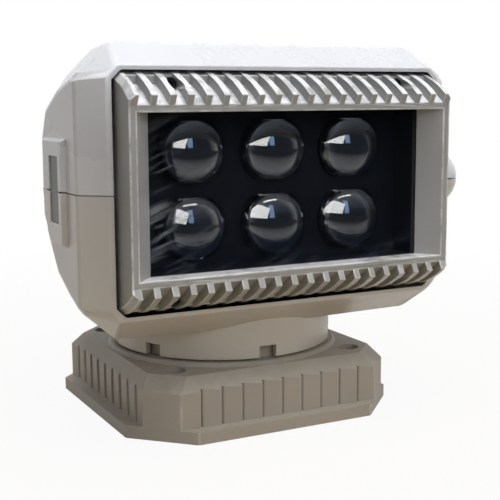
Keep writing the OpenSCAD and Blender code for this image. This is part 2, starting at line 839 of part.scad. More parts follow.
module side_cover() {
  color([0.42, 0.42, 0.43]) cover_box(0, side_hw + pad_h - cover_sink);
}

module tilt_bush(side, x_end) {
  color([0.25, 0.25, 0.26]) at_tilt_axis() mirror([side, 0, 0]) difference() {
    rod_x(bush_r, boss_in, x_end);
    rod_x(trunnion_r + run_fit, boss_in - cut, x_end + cut);
  }
}

module tilt_bush_left() {
  tilt_bush(1, boss_out);
}

module tilt_bush_right() {
  tilt_bush(0, side_hw);
}

module tilt_gear() {
  color([0.85, 0.83, 0.78]) at_tilt_axis() difference() {
    translate([-tilt_gear_x - tilt_gear_t / 2, 0, 0])
      along_x(tilt_gear_t) gear_outline(tilt_module, tilt_gear_teeth);
    rod_x(boss_r + seat_fit, -side_hw, 0);
    translate([-side_hw, -far - tilt_gear_clip, -far / 2]) cube([side_hw, far, far]);
  }
}

module pan_motor() {
  color([0.3, 0.31, 0.33]) translate([0, pan_mesh_d, floor_top]) difference() {
    union() {
      cylinder(r = pan_motor_r, h = pan_motor_h);
      translate([0, 0, pan_motor_h]) cylinder(r = pan_motor_cap_r, h = pan_motor_cap_h);
      translate([-pan_motor_ear[0] / 2, -pan_motor_ear[1] / 2, 0]) cube(pan_motor_ear);
    }
    translate([0, 0, -cut]) cylinder(r = motor_shaft_r + run_fit, h = pan_motor_boss_h + cut);
  }
}

module at_board_posts() {
  for (x = [-1, 1], y = [-1, 1])
    translate([x * (board_w / 2 - board_post_in), board_y + y * (board_d / 2 - board_post_in), 0]) children();
}

module control_board() {
  color([0.12, 0.32, 0.2]) translate([0, board_y, floor_top + board_post_h]) {
    translate([-board_size[0] / 2, -board_size[1] / 2, 0]) cube(board_size);
    for (chip = board_chips) translate([chip[0], chip[1], board_h - thin]) cube([chip[2], chip[2], chip[3]]);
    for (can = board_cans) translate([can[0], can[1], board_h - thin]) cylinder(r = can[2], h = can[3]);
  }
}

// Section through which the fins run: above and below, out to their slanted front ends
module fin_zone(y_front, y_back) {
  slant = (tip_d - rim_d) / (tip_hh - rim_floor);
  top = fin_r + cut;
  for (side = [0, 1]) mirror([0, side]) polygon([
    [y_back, ledge_in], [y_back, top], [y_front - slant * (top - rim_floor), top],
    [y_front, rim_floor], [y_front, ledge_in / 2], [y_back, ledge_in / 2]
  ]);
}

module fin_discs(r) {
  for (k = [0 : fin_count - 1]) translate([(k - (fin_count - 1) / 2) * fin_pitch, 0, 0])
    rod_x(r, -fin_t / 2, fin_t / 2);
}

// Room of the fins: a drum with chamfered ends
module fin_drum(r) {
  rotate([0, 90, 0]) rotate_extrude() polygon([
    [0, -bezel_hw], [r - fin_corner, -bezel_hw], [r, -bezel_hw + fin_corner],
    [r, bezel_hw - fin_corner], [r - fin_corner, bezel_hw], [0, bezel_hw]
  ]);
}

module at_bezel_screws() {
  for (x = [-1, 1], z = [-1, 1]) translate([x * bezel_screw_x, 0, z * bezel_screw_z]) children();
}

module bezel() {
  color([0.8, 0.81, 0.81]) at_tilt_axis() difference() {
    union() {
      intersection() {
        rod_x(floor_r, -bezel_hw, bezel_hw);
        block(bezel_hw + cut, -rim_d, -split_d, far);
      }
      intersection() {
        union() {
          fin_discs(fin_r + cut);
          for (side = [0, 1]) mirror([side, 0, 0]) rod_x(fin_r + cut, bezel_hw - cheek_w, bezel_hw + cut);
        }
        along_x(2 * bezel_hw + cut) fin_zone(-rim_d, -split_d);
        fin_drum(fin_r);
      }
      intersection() {
        fin_drum(body_r);
        block(bezel_hw + cut, -fin_wall_d, -split_d, far);
      }
    }
    translate([0, 0, -window_hh]) linear_extrude(2 * window_hh) polygon([
      [-bezel_hw + rim_w, -rim_d - cut], [bezel_hw - rim_w, -rim_d - cut], [bezel_hw - rim_w, -rim_d],
      [window_hw, -glass_front], [window_hw, -glass_front + cut], [-window_hw, -glass_front + cut],
      [-window_hw, -glass_front], [-bezel_hw + rim_w, -rim_d]
    ]);
    block(glass_hw + recess_slip, -glass_front, -split_d + cut, glass_hh + recess_slip);
    at_bezel_screws() rod_y(bezel_head_r + recess_slip, -far / 2, -bezel_head_front + bezel_head_h);
    at_bezel_screws() rod_y(bezel_screw_r + slip, -rim_d, 0);
  }
}

module bezel_screws() {
  color([0.05, 0.05, 0.05]) at_tilt_axis() at_bezel_screws() difference() {
    union() {
      rod_y(bezel_head_r, -bezel_head_front, -bezel_head_front + bezel_head_h);
      rod_y(bezel_screw_r, -bezel_head_front + cut, -split_d + gasket_t + mouth_t - slip);
    }
    rotate([90, 0, 0]) translate([0, 0, bezel_head_front - hex_key_h])
      cylinder(r = hex_key_r, h = far, $fn = 6);
  }
}

module lamp_body() {
  front = -split_d + gasket_t;
  color([0.7, 0.71, 0.71]) at_tilt_axis() difference() {
    union() {
      intersection() {
        fin_drum(body_r);
        block(body_hw, front, body_rear, far);
      }
    }
    intersection() {
      rod_x(barrel_in_r, -body_hw + end_wall, body_hw - end_wall);
      block(far, front + mouth_t, body_rear - rear_wall, far);
      difference() {
        block(far, -far, far, far);
        for (side = [0, 1]) mirror([0, 0, side])
          translate([-sink_hw, -sink_front + sink_t, ledge_in]) cube([2 * sink_hw, ledge_t, far]);
      }
    }
    block(mouth_hw, front - cut, front + mouth_t + cut, mouth_hh);
    rod_x(trunnion_spigot_r + seat_fit, -far, far);
    translate([0, tilt_mesh_d, 0]) rod_x(shaft_hole_r, -far, 0);
    at_bezel_screws() rod_y(bezel_screw_r + seat_fit, front - cut, front + mouth_t + cut);
  }
}

module lamp_gasket() {
  color([0.06, 0.06, 0.06]) at_tilt_axis() difference() {
    block(body_hw - recess_slip, -split_d, -split_d + gasket_t, mouth_hh + lamp_gasket_w);
    block(mouth_hw, -split_d - cut, -split_d + gasket_t + cut, mouth_hh);
    at_bezel_screws() rod_y(bezel_screw_r + slip, -split_d - cut, -split_d + gasket_t + cut);
  }
}

module front_glass() {
  color([0.12, 0.15, 0.2, 0.4]) at_tilt_axis() block(glass_hw, -glass_front + seat_fit, -glass_back, glass_hh);
}

module glass_gasket() {
  color([0.05, 0.05, 0.05]) at_tilt_axis() difference() {
    block(glass_hw, -glass_back, -tray_front, glass_hh);
    block(tray_hw - tray_wall, -glass_back - cut, -tray_front + cut, tray_hh - tray_wall);
  }
}

module at_lenses() {
  for (k = [0 : 5]) at_lens(k) children();
}

// Lens places, counted from the upper left
module at_lens(k) {
  column = k % lens_columns;
  row = floor(k / lens_columns);
  translate([(column - 1) * lens_pitch_x, 0, (0.5 - row) * lens_pitch_z]) children();
}

module lens_tray() {
  color([0.06, 0.07, 0.09]) at_tilt_axis() difference() {
    block(tray_hw, -tray_front, -sink_front, tray_hh);
    block(tray_hw - tray_wall, -tray_front - cut, -tray_seat, tray_hh - tray_wall);
    block(tray_hw - tray_wall, -tray_seat + tray_t, -sink_front + cut, tray_hh - tray_wall);
    at_lenses() rod_y(lens_hole_r, -tray_seat - cut, -tray_seat + tray_t + cut);
  }
}

module lens(k) {
  top = -tray_seat - lens_rise;
  color([0.75, 0.8, 0.88, 0.5]) at_tilt_axis() at_lens(k) intersection() {
    translate([0, top + lens_ball_r, 0]) sphere(r = lens_ball_r);
    rod_y(lens_r, top - cut, -tray_seat);
    block(lens_r + cut, top - cut, -tray_seat, lens_hh);
  }
}

module led_board() {
  color([0.9, 0.9, 0.88]) at_tilt_axis()
    block(lens_pitch_x + lens_r + led_board_edge,
      -sink_front - board_t, -sink_front, lens_pitch_z / 2 + lens_hh);
}

module led_emitters() {
  color([0.95, 0.85, 0.35]) at_tilt_axis() at_lenses()
    rod_y(emitter_r, -sink_front - board_t - emitter_h, -sink_front - board_t);
}

module heat_sink() {
  color([0.6, 0.61, 0.62]) at_tilt_axis() {
    block(sink_hw, -sink_front, -sink_front + sink_t, sink_hh);
    for (x = [sink_fin_from : sink_fin_pitch : sink_fin_to]) translate([x, 0, 0])
      block(sink_fin_t / 2, -sink_front + sink_t - thin, -sink_front + sink_t + sink_fin_d, sink_fin_hh);
  }
}

module trunnion(side, x_end) {
  color([0.64, 0.65, 0.67]) at_tilt_axis() mirror([side, 0, 0]) difference() {
    union() {
      rod_x(trunnion_spigot_r, body_hw - end_wall, body_hw);
      rod_x(trunnion_flange_r, body_hw, body_hw + trunnion_flange_t);
      rod_x(trunnion_r, body_hw, x_end);
    }
    rod_x(trunnion_bore_r, 0, far);
  }
}

module trunnion_left() {
  trunnion(1, boss_out - trunnion_room);
}

module trunnion_right() {
  trunnion(0, side_hw);
}

module tilt_motor() {
  color([0.3, 0.31, 0.33]) at_tilt_axis() translate([0, tilt_mesh_d, 0]) difference() {
    rod_x(tilt_motor_r, -body_hw + end_wall, -body_hw + end_wall + tilt_motor_l);
    rod_x(motor_shaft_r + run_fit, -body_hw, -body_hw + end_wall + tilt_motor_boss_l);
  }
}

module pan_pinion() {
  color([0.8, 0.75, 0.6]) translate([0, pan_mesh_d, gear_seat_z]) {
    linear_extrude(pan_gear_h) rotate(-90 + 180 / pan_pinion_teeth) gear_outline(pan_module, pan_pinion_teeth);
    cylinder(r = motor_shaft_r, h = floor_top + pan_motor_boss_h - cut - gear_seat_z);
  }
}

module tilt_pinion() {
  color([0.8, 0.75, 0.6]) at_tilt_axis() translate([0, tilt_mesh_d, 0]) {
    translate([-tilt_gear_x - tilt_gear_t / 2, 0, 0]) along_x(tilt_gear_t)
      rotate(180 + 180 / tilt_pinion_teeth) gear_outline(tilt_module, tilt_pinion_teeth);
    rod_x(motor_shaft_r, -tilt_gear_x - tilt_gear_t, -body_hw + end_wall + tilt_motor_boss_l - cut);
  }
}

base_casting();
bottom_plate();
base_gasket();
bottom_plate_screws();
cable_grommet();
pan_bearing_outer_race();
pan_bearing_balls();
pan_gear();
pan_seal();
upper_shell();
lower_shell();
shell_gasket();
shell_screws();
side_cover();
tilt_bush_left();
tilt_bush_right();
tilt_gear();
pan_spindle();
spindle_nut();
spindle_screws();
pan_bearing_inner_race();
pan_motor();
control_board();
bezel();
bezel_screws();
lamp_body();
lamp_gasket();
front_glass();
glass_gasket();
lens_tray();
for (k = [0 : 5]) lens(k);
led_board();
led_emitters();
heat_sink();
trunnion_left();
trunnion_right();
tilt_motor();
pan_pinion();
tilt_pinion();
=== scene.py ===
# Looks of the marine searchlight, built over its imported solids
import json
import math

import bmesh
import bpy
from mathutils import Matrix, Vector
from mathutils.bvhtree import BVHTree


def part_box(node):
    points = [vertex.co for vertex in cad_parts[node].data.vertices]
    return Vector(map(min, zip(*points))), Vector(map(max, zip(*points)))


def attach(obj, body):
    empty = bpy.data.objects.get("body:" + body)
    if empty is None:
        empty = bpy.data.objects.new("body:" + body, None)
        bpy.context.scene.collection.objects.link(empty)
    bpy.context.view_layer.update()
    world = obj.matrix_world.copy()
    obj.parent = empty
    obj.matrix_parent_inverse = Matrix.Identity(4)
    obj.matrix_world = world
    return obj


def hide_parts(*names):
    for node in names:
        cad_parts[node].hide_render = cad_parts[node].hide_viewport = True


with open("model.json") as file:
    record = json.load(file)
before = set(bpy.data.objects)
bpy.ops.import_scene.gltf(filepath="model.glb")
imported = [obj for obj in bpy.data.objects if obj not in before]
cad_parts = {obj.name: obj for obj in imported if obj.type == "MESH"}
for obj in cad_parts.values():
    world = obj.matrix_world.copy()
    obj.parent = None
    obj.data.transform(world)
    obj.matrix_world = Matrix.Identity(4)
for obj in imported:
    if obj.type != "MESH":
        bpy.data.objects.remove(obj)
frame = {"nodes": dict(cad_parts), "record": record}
SOLIDS = frame["nodes"]
BODY_OF = {node: body for body, nodes in frame["record"]["behaviour"]["bodies"].items() for node in nodes}
SLOT_OF = {s["node"]: s["material_slot"] for s in frame["record"]["subparts"]}
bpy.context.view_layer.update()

MM = 0.001
WHITE = (1.0, 1.0, 1.0)


def place_object(name, data):
    """Adds an object with this data to the scene."""
    thing = bpy.data.objects.new(name, data)
    bpy.context.scene.collection.objects.link(thing)
    return thing


def applied_mesh(thing):
    """The mesh of an object with its modifiers applied. The object itself goes."""
    mesh = bpy.data.meshes.new_from_object(thing.evaluated_get(bpy.context.evaluated_depsgraph_get()))
    bpy.data.objects.remove(thing)
    return mesh


# Shader building blocks

def wire(tree, source, target):
    tree.links.new(source, target)


def add(tree, kind, **settings):
    node = tree.nodes.new(kind)
    for name, value in settings.items():
        setattr(node, name, value)
    return node


def put(node, **values):
    """Sets inputs by name, with _ for a blank in the name."""
    for name, value in values.items():
        node.inputs[name.replace("_", " ")].default_value = value


def feed(tree, socket, value):
    """Wires an output to the socket, or sets a plain number or colour on it."""
    if isinstance(value, bpy.types.NodeSocket):
        wire(tree, value, socket)
    else:
        socket.default_value = (*value, 1.0) if isinstance(value, tuple) else value


def math_node(tree, operation, *values, clamp=False):
    node = add(tree, "ShaderNodeMath", operation=operation, use_clamp=clamp)
    for socket, value in zip(node.inputs, values):
        feed(tree, socket, value)
    return node.outputs[0]


def times(tree, a, b):
    return math_node(tree, "MULTIPLY", a, b)


def larger(tree, a, b):
    return math_node(tree, "MAXIMUM", a, b)


def summed(tree, start, terms):
    """The start value plus each term's value times its weight."""
    for value, weight in terms:
        start = math_node(tree, "MULTIPLY_ADD", value, weight, start)
    return start


def noise(tree, vector, detail=3.0, rough=0.55, distortion=0.0):
    node = add(tree, "ShaderNodeTexNoise")
    put(node, Scale=1.0, Detail=detail, Roughness=rough, Distortion=distortion)
    wire(tree, vector, node.inputs["Vector"])
    return node.outputs["Fac"]


def spread(tree, value, low, high, to_low=0.0, to_high=1.0):
    """Maps low..high to to_low..to_high and holds the ends."""
    node = add(tree, "ShaderNodeMapRange", clamp=True)
    put(node, From_Min=low, From_Max=high, To_Min=to_low, To_Max=to_high)
    wire(tree, value, node.inputs["Value"])
    return node.outputs["Result"]


def scaled(tree, vector, amount):
    """A vector times an output, the same on all axes."""
    node = add(tree, "ShaderNodeVectorMath", operation="SCALE")
    wire(tree, vector, node.inputs[0])
    wire(tree, amount, node.inputs["Scale"])
    return node.outputs[0]


def stretched(tree, vector, scale):
    """A vector times a fixed scale for each axis."""
    node = add(tree, "ShaderNodeVectorMath", operation="MULTIPLY")
    node.inputs[1].default_value = scale
    wire(tree, vector, node.inputs[0])
    return node.outputs[0]


def object_place(tree):
    return add(tree, "ShaderNodeTexCoord").outputs["Object"]


def axes_of(tree, vector):
    node = add(tree, "ShaderNodeSeparateXYZ")
    wire(tree, vector, node.inputs[0])
    return node.outputs


def blend(tree, share, a, b):
    node = add(tree, "ShaderNodeMix", data_type="RGBA")
    wire(tree, share, node.inputs["Factor"])
    colour_a, colour_b = node.inputs[6], node.inputs[7]
    feed(tree, colour_a, a)
    feed(tree, colour_b, b)
    return node.outputs[2]


def layered(tree, tone, layers):
    """Lays each colour over the tone by its share, the first at the bottom."""
    for share, colour in layers:
        tone = blend(tree, share, tone, colour)
    return tone


# Node groups for what several finishes share

def new_group(name, inputs, outputs):
    tree = bpy.data.node_groups.new(name, "ShaderNodeTree")
    for label, value in inputs:
        socket = tree.interface.new_socket(label, in_out="INPUT", socket_type="NodeSocketFloat")
        socket.default_value = value
    for label in outputs:
        tree.interface.new_socket(label, in_out="OUTPUT", socket_type="NodeSocketFloat")
    return tree, add(tree, "NodeGroupInput").outputs, add(tree, "NodeGroupOutput").inputs


def paint_skin_group():
    """Orange peel, fine specks and broad clouding of sprayed paint."""
    tree, given, out = new_group("paint_skin", [("Peel", 260.0), ("Specks", 900.0), ("Clouds", 9.0)],
                                 ["Height", "Speck", "Cloud"])
    place = object_place(tree)
    speck = noise(tree, scaled(tree, place, given["Specks"]), 1.0)
    cloud = noise(tree, scaled(tree, place, given["Clouds"]), 4.0)
    wire(tree, noise(tree, scaled(tree, place, given["Peel"]), 2.0), out["Height"])
    wire(tree, spread(tree, speck, 0.62, 0.74), out["Speck"])
    wire(tree, spread(tree, cloud, 0.3, 0.7), out["Cloud"])
    return tree


def edge_wear_and_highlight_group():
    """Broken light wear along the rounded edges that a piece carries in its edge attribute, and a painted
    highlight there.
    """
    tree, given, out = new_group("edge_wear_and_highlight", [("Breakup", 70.0), ("Amount", 0.6)], ["Mask"])
    edge = add(tree, "ShaderNodeAttribute", attribute_name="edge").outputs["Fac"]
    patch = noise(tree, scaled(tree, object_place(tree), given["Breakup"]), 5.0, 0.65)
    broken = times(tree, edge, spread(tree, patch, 0.36, 0.62))
    wire(tree, times(tree, broken, given["Amount"]), out["Mask"])
    return tree


def dust_and_painted_light_group():
    """Masks for faces that look up at rest and for parts near the foot, for dust and for a painted top light and
    foot shade.
    """
    tree, given, out = new_group("dust_and_painted_light", [("Grain", 55.0), ("Foot", 0.0), ("Reach", 0.12)],
                                 ["On Top", "Near Foot"])
    place = object_place(tree)
    up = axes_of(tree, add(tree, "ShaderNodeTexCoord").outputs["Normal"])["Z"]
    grain = noise(tree, scaled(tree, place, given["Grain"]), 6.0, 0.7)
    on_top = times(tree, spread(tree, up, 0.35, 0.95), spread(tree, grain, 0.4, 0.75))
    over_foot = math_node(tree, "SUBTRACT", axes_of(tree, place)["Z"], given["Foot"])
    over_foot = math_node(tree, "DIVIDE", over_foot, given["Reach"])
    near = math_node(tree, "SUBTRACT", 1.0, over_foot, clamp=True)
    wire(tree, on_top, out["On Top"])
    wire(tree, times(tree, near, spread(tree, grain, 0.25, 0.7, 0.55, 1.0)), out["Near Foot"])
    return tree


def cast_skin_group():
    """Grainy skin of a casting with small pits."""
    tree, given, out = new_group("cast_skin", [("Grain", 420.0), ("Pits", 160.0)], ["Height", "Pit"])
    place = object_place(tree)
    grain = noise(tree, scaled(tree, place, given["Grain"]), 4.0, 0.65)
    cells = add(tree, "ShaderNodeTexVoronoi", feature="F1")
    put(cells, Scale=1.0)
    wire(tree, scaled(tree, place, given["Pits"]), cells.inputs["Vector"])
    pit = spread(tree, cells.outputs["Distance"], 0.06, 0.22, 1.0, 0.0)
    wire(tree, math_node(tree, "SUBTRACT", grain, times(tree, pit, 0.35)), out["Height"])
    wire(tree, pit, out["Pit"])
    return tree


def turned_lines_group():
    """Fine tool lines across the upright axis of a machined or brushed piece."""
    tree, given, out = new_group("turned_lines", [("Across", 2600.0), ("Along", 40.0)], ["Line"])
    place = axes_of(tree, object_place(tree))
    joined = add(tree, "ShaderNodeCombineXYZ")
    for axis, amount in (("X", "Along"), ("Y", "Along"), ("Z", "Across")):
        wire(tree, times(tree, place[axis], given[amount]), joined.inputs[axis])
    wire(tree, noise(tree, joined.outputs[0], 2.0), out["Line"])
    return tree


PAINT_SKIN = paint_skin_group()
EDGE_WEAR_AND_HIGHLIGHT = edge_wear_and_highlight_group()
DUST_AND_PAINTED_LIGHT = dust_and_painted_light_group()
CAST_SKIN = cast_skin_group()
TURNED_LINES = turned_lines_group()


def place_group(tree, group, **values):
    node = add(tree, "ShaderNodeGroup", node_tree=group)
    put(node, **values)
    return node.outputs


# Finishes

def new_material(name, **settings):
    material = bpy.data.materials.new(name)
    material.use_nodes = True
    shader = material.node_tree.nodes["Principled BSDF"]
    put(shader, **settings)
    return material, material.node_tree, shader


def raise_surface(tree, shader, height, strength, distance):
    bump = add(tree, "ShaderNodeBump")
    put(bump, Strength=strength, Distance=distance)
    wire(tree, height, bump.inputs["Height"])
    wire(tree, bump.outputs["Normal"], shader.inputs["Normal"])


def gloss_paint(name, colour, shade, dust_and_foot_shade, worn_and_highlight, rough, foot, reach, foot_share):
    """Sprayed gloss paint on a casting: clouding, dust on top, painted shade and floor bounce near the foot,
    edge wear with a painted highlight.
    """
    material, tree, shader = new_material(name, IOR=1.5, Coat_Weight=0.15, Coat_Roughness=0.12)
    skin = place_group(tree, PAINT_SKIN)
    wear_and_highlight = place_group(tree, EDGE_WEAR_AND_HIGHLIGHT, Amount=0.22)
    dust_and_light = place_group(tree, DUST_AND_PAINTED_LIGHT, Foot=foot, Reach=reach)
    # Towards the foot the colour turns darker and warmer: painted shade and warm floor bounce. The lighter edge
    # colour is wear and also a painted highlight.
    tone = layered(tree, blend(tree, skin["Cloud"], shade, colour), [
        (times(tree, dust_and_light["On Top"], 0.1), dust_and_foot_shade),
        (times(tree, dust_and_light["Near Foot"], foot_share), dust_and_foot_shade),
        (times(tree, skin["Speck"], 0.12), shade),
        (wear_and_highlight["Mask"], worn_and_highlight)])
    gloss = summed(tree, rough, [(skin["Cloud"], 0.07), (dust_and_light["On Top"], 0.12), (dust_and_light["Near Foot"], 0.12)])
    wire(tree, tone, shader.inputs["Base Color"])
    wire(tree, gloss, shader.inputs["Roughness"])
    raise_surface(tree, shader, skin["Height"], 0.08, 0.4 * MM)
    return material


def cast_paint(name, colour, shade, worn_and_highlight, rough, grain, dust_and_foot_shade, foot, reach, foot_share, painted_top_light):
    """Thinly painted casting: grain and pits show, painted light lightens its top, painted shade darkens rib
    roots and foot.
    """
    material, tree, shader = new_material(name, IOR=1.48)
    skin = place_group(tree, PAINT_SKIN)
    cast = place_group(tree, CAST_SKIN, Grain=grain)
    wear_and_highlight = place_group(tree, EDGE_WEAR_AND_HIGHLIGHT, Amount=0.75)
    dust_and_light = place_group(tree, DUST_AND_PAINTED_LIGHT, Foot=foot, Reach=reach)
    root = add(tree, "ShaderNodeAttribute", attribute_name="root").outputs["Fac"]
    painted_rib_shade = tuple(0.3 * c for c in shade)
    tone = layered(tree, blend(tree, skin["Cloud"], shade, colour), [
        # Painted shade and warm floor bounce: darker and warmer towards the foot.
        (times(tree, dust_and_light["Near Foot"], foot_share), dust_and_foot_shade),
        (times(tree, cast["Pit"], 0.3), shade),
        # Painted light: faces that look up at rest are lightened, as if lit from above.
        (spread(tree, dust_and_light["On Top"], 0.0, 0.3, 0.0, 0.95), painted_top_light),
        # Painted shade: the inner corners of the ribs are darkened.
        (spread(tree, root, 0.8, 0.93, 0.0, 0.85), painted_rib_shade),
        # The lighter colour along rounded edges is wear and also a painted highlight.
        (wear_and_highlight["Mask"], worn_and_highlight)])
    wire(tree, tone, shader.inputs["Base Color"])
    wire(tree, summed(tree, rough, [(skin["Cloud"], 0.1), (wear_and_highlight["Mask"], -0.12)]), shader.inputs["Roughness"])
    raise_surface(tree, shader, cast["Height"], 0.25, 0.4 * MM)
    return material


def moulded(name, colour, shade, rough, grain=700.0, **settings):
    """Moulded plastic or rubber with a fine texture."""
    material, tree, shader = new_material(name, **settings)
    skin = place_group(tree, PAINT_SKIN, Peel=grain, Clouds=30.0)
    wear_and_highlight = place_group(tree, EDGE_WEAR_AND_HIGHLIGHT, Amount=0.4)
    pale = tuple(min(1.0, 1.6 * c + 0.02) for c in colour)
    tone = layered(tree, blend(tree, skin["Cloud"], shade, colour), [(wear_and_highlight["Mask"], pale)])
    wire(tree, tone, shader.inputs["Base Color"])
    wire(tree, summed(tree, rough, [(skin["Cloud"], 0.12)]), shader.inputs["Roughness"])
    raise_surface(tree, shader, skin["Height"], 0.2, 0.3 * MM)
    return material


def bare_metal(name, colour, shade, rough):
    """Machined or rolled metal with tool lines."""
    material, tree, shader = new_material(name, Metallic=1.0)
    lines = place_group(tree, TURNED_LINES)
    skin = place_group(tree, PAINT_SKIN, Clouds=40.0)
    wire(tree, blend(tree, skin["Cloud"], shade, colour), shader.inputs["Base Color"])
    wire(tree, summed(tree, rough, [(lines["Line"], 0.2)]), shader.inputs["Roughness"])
    raise_surface(tree, shader, lines["Line"], 0.1, 0.2 * MM)
    return material


def window_glass():
    """Flat clear pane: a faint pale haze in streaks at its left and lower edges."""
    material, tree, shader = new_material("window_glass", IOR=1.5, Roughness=0.06)
    place = object_place(tree)
    axes = axes_of(tree, place)
    turned = add(tree, "ShaderNodeMapping")
    put(turned, Rotation=(0.0, math.radians(24.0), 0.0))
    wire(tree, place, turned.inputs["Vector"])
    streak = noise(tree, stretched(tree, turned.outputs["Vector"], (30.0, 30.0, 240.0)), 5.0, 0.62, 0.8)
    patch = noise(tree, stretched(tree, place, (34.0, 34.0, 46.0)), 3.0)
    left = spread(tree, axes["X"], -0.034, -0.074)
    left = times(tree, left, spread(tree, axes["Z"], 0.172, 0.148, 0.25, 1.0))
    low = spread(tree, axes["Z"], 0.112, 0.098)
    where = larger(tree, left, times(tree, low, 0.5))
    pale_streaks = times(tree, spread(tree, streak, 0.5, 0.74), spread(tree, patch, 0.4, 0.6))
    pale_streaks = times(tree, pale_streaks, where)
    wire(tree, blend(tree, pale_streaks, (0.10, 0.13, 0.17), (0.42, 0.45, 0.48)), shader.inputs["Base Color"])
    wire(tree, summed(tree, 0.012, [(pale_streaks, 0.5)]), shader.inputs["Alpha"])
    return material


def lens_acrylic():
    """Polished clear lens with a very slight waviness from the mould."""
    material, tree, shader = new_material("lens_acrylic", IOR=1.49, Transmission_Weight=1.0, Coat_Weight=1.0,
                                          Coat_IOR=1.6, Coat_Roughness=0.01)
    skin = place_group(tree, PAINT_SKIN, Peel=120.0, Clouds=60.0)
    wire(tree, blend(tree, skin["Cloud"], (0.62, 0.7, 0.86), (0.72, 0.78, 0.9)), shader.inputs["Base Color"])
    wire(tree, spread(tree, skin["Cloud"], 0.0, 1.0, 0.01, 0.04), shader.inputs["Roughness"])
    raise_surface(tree, shader, skin["Height"], 0.03, 0.3 * MM)
    return material


UPPER_PAINT = gloss_paint(
    "upper_shell_gloss_grey", colour=(0.58, 0.592, 0.625), shade=(0.53, 0.541, 0.572), dust_and_foot_shade=(0.6, 0.58, 0.53),
    worn_and_highlight=(0.8, 0.8, 0.8), rough=0.22, foot=0.138, reach=0.03, foot_share=0.12)
# The lower shell gets a darker, warmer copy of the shell paint: painted shade and warm floor bounce.
LOWER_PAINT_PAINTED_SHADE = gloss_paint(
    "lower_shell_grey_painted_shade", colour=(0.54, 0.52, 0.49), shade=(0.49, 0.472, 0.445), dust_and_foot_shade=(0.5, 0.445, 0.35),
    worn_and_highlight=(0.68, 0.66, 0.63), rough=0.26, foot=0.05, reach=0.085, foot_share=0.6)
# For both castings the top colour below is a painted top light and the foot colour painted shade.
BEZEL_PAINT = cast_paint(
    "bezel_cast_grey", colour=(0.345, 0.347, 0.35), shade=(0.29, 0.292, 0.293), worn_and_highlight=(0.78, 0.78, 0.78),
    rough=0.28, grain=420.0, dust_and_foot_shade=(0.38, 0.35, 0.25), foot=0.075, reach=0.03, foot_share=0.7,
    painted_top_light=(0.64, 0.64, 0.65))
BASE_PAINT = cast_paint(
    "base_cast_taupe", colour=(0.39, 0.348, 0.29), shade=(0.335, 0.298, 0.246), worn_and_highlight=(0.5, 0.46, 0.4),
    rough=0.5, grain=300.0, dust_and_foot_shade=(0.38, 0.33, 0.255), foot=0.0, reach=0.03, foot_share=0.4,
    painted_top_light=(0.4, 0.365, 0.315))
COVER_PLASTIC = moulded("cover_dark_grey", (0.13, 0.13, 0.135), (0.09, 0.09, 0.095), 0.4)
BLACK_PLASTIC = moulded("tray_black", (0.007, 0.009, 0.015), (0.004, 0.005, 0.009), 0.42,
                        Specular_IOR_Level=0.06)
SEAM_RUBBER = moulded("seam_grey_rubber", (0.2, 0.195, 0.185), (0.14, 0.135, 0.13), 0.55, 1200.0)
RUBBER = moulded("gasket_black_rubber", (0.02, 0.02, 0.02), (0.012, 0.012, 0.012), 0.6, 1200.0)
NYLON = moulded("gear_natural_nylon", (0.72, 0.7, 0.63), (0.64, 0.61, 0.53), 0.4)
MOTOR_PAINT = moulded("motor_dark_grey", (0.075, 0.08, 0.088), (0.05, 0.053, 0.06), 0.38, 500.0)
BOARD_GREEN = moulded("board_green", (0.025, 0.14, 0.055), (0.018, 0.1, 0.04), 0.35, 500.0)
LED_MASK = moulded("led_board_black_mask", (0.02, 0.022, 0.03), (0.012, 0.014, 0.02), 0.35, 500.0)
PHOSPHOR = moulded("emitter_phosphor", (0.62, 0.48, 0.08), (0.5, 0.36, 0.05), 0.35, 900.0)
BLACK_OXIDE = bare_metal("screw_black_oxide", (0.045, 0.045, 0.048), (0.02, 0.02, 0.022), 0.3)
STEEL = bare_metal("bright_steel", (0.56, 0.57, 0.58), (0.45, 0.46, 0.47), 0.25)
ALUMINIUM = bare_metal("machined_aluminium", (0.62, 0.63, 0.64), (0.52, 0.53, 0.54), 0.3)
BRASS = bare_metal("pinion_brass", (0.7, 0.53, 0.22), (0.56, 0.4, 0.15), 0.25)
GLASS = window_glass()
LENS = lens_acrylic()

FINISH_OF_SLOT = {
    "base_paint": BASE_PAINT, "shell_paint": UPPER_PAINT, "bezel_paint": BEZEL_PAINT,
    "cover_plastic": COVER_PLASTIC, "aluminium": ALUMINIUM, "steel": STEEL, "black_steel": BLACK_OXIDE,
    "rubber": RUBBER, "nylon": NYLON, "brass": BRASS, "black_plastic": BLACK_PLASTIC, "motor": MOTOR_PAINT,
    "board": BOARD_GREEN, "emitter": PHOSPHOR, "glass": GLASS, "lens": LENS,
}
# The lower shell takes the painted-shade copy of the shell paint.
FINISH_OF_NODE = {"lower_shell": LOWER_PAINT_PAINTED_SHADE, "led_board": LED_MASK, "shell_gasket": SEAM_RUBBER}


def finish_of(node):
    return FINISH_OF_NODE.get(node, FINISH_OF_SLOT[SLOT_OF[node]])


def coat(thing, node):
    """Gives an object the one finish of its node."""
    thing.data.materials.clear()
    thing.data.materials.append(finish_of(node))


def show(piece, node):
    """Puts a finished piece in the place of its solid."""
    coat(piece, node)
    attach(piece, BODY_OF[node])
    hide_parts(node)


# Rounded copies of the castings and lenses

def middle_of(edge):
    return (edge.verts[0].co + edge.verts[1].co) / 2


def bend(edge):
    """Angle between the two faces of an edge in degrees."""
    return math.degrees(edge.calc_face_angle(0.0))


def rise(edge):
    return abs(edge.verts[0].co.z - edge.verts[1].co.z)


def upright(edge, share=0.9):
    return rise(edge) > share * edge.calc_length()


